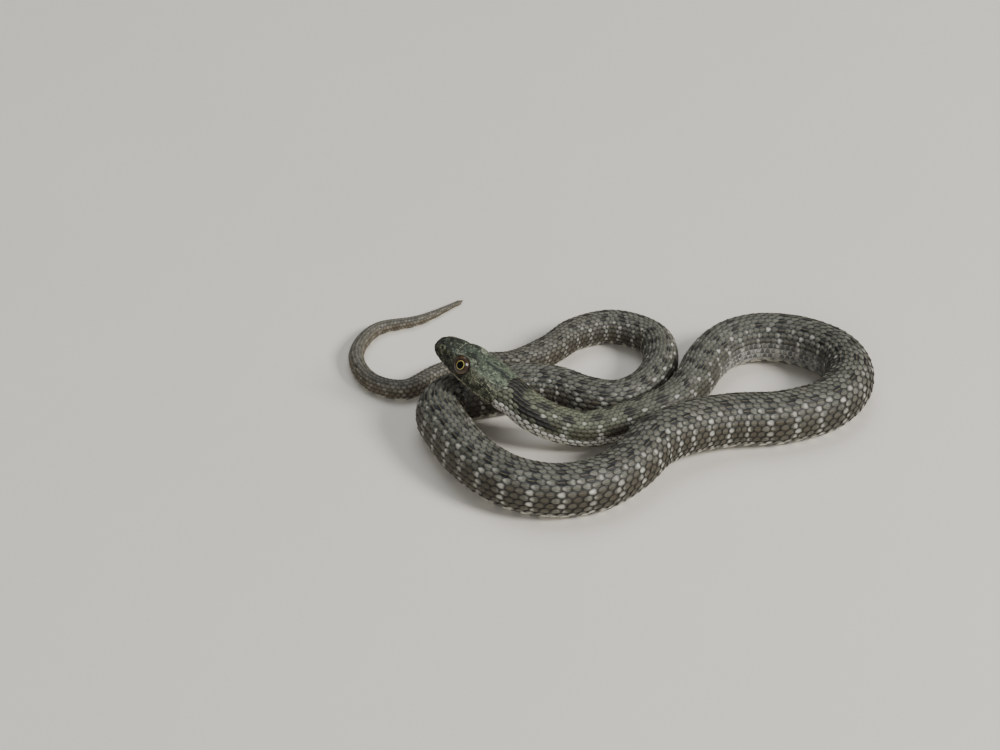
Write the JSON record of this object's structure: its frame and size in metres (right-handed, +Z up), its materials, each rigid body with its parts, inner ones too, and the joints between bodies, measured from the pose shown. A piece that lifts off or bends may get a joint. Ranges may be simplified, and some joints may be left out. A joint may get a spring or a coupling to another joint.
{
  "type": "coiled young dice snake",
  "caption": "Life-size young water snake lying in loose flat coils, head raised and resting over a tight bend, thin tail curled out to one side",
  "frame": {"origin": "centre of the bounding box, on the floor under the belly", "axes": "+Z up off the floor, +X along the longest extent towards the outer end of the wide loops, +Y towards the tail tip and the small loop"},
  "size_m": [0.1012, 0.0714, 0.017],
  "materials": {
    "head_skin": "satin horny shields, grey-green with dark stippling",
    "body_skin": "satin keeled scales, grey-brown with dark and pale marks",
    "eye": "wet clear gloss over a dark iris with a thin gold ring"
  },
  "bodies": {
    "root": {"head": "head_skin", "lower_jaw": "head_skin", "eye_left": "eye", "eye_right": "eye", "neck": "body_skin", "trunk_1": "body_skin", "trunk_2": "body_skin", "trunk_3": "body_skin", "trunk_4": "body_skin", "trunk_5": "body_skin", "trunk_6": "body_skin", "trunk_7": "body_skin", "trunk_8": "body_skin", "trunk_9": "body_skin", "trunk_10": "body_skin", "trunk_11": "body_skin", "trunk_12": "body_skin", "tail_1": "body_skin", "tail_2": "body_skin", "tail_3": "body_skin"}
  },
  "joints": []
}
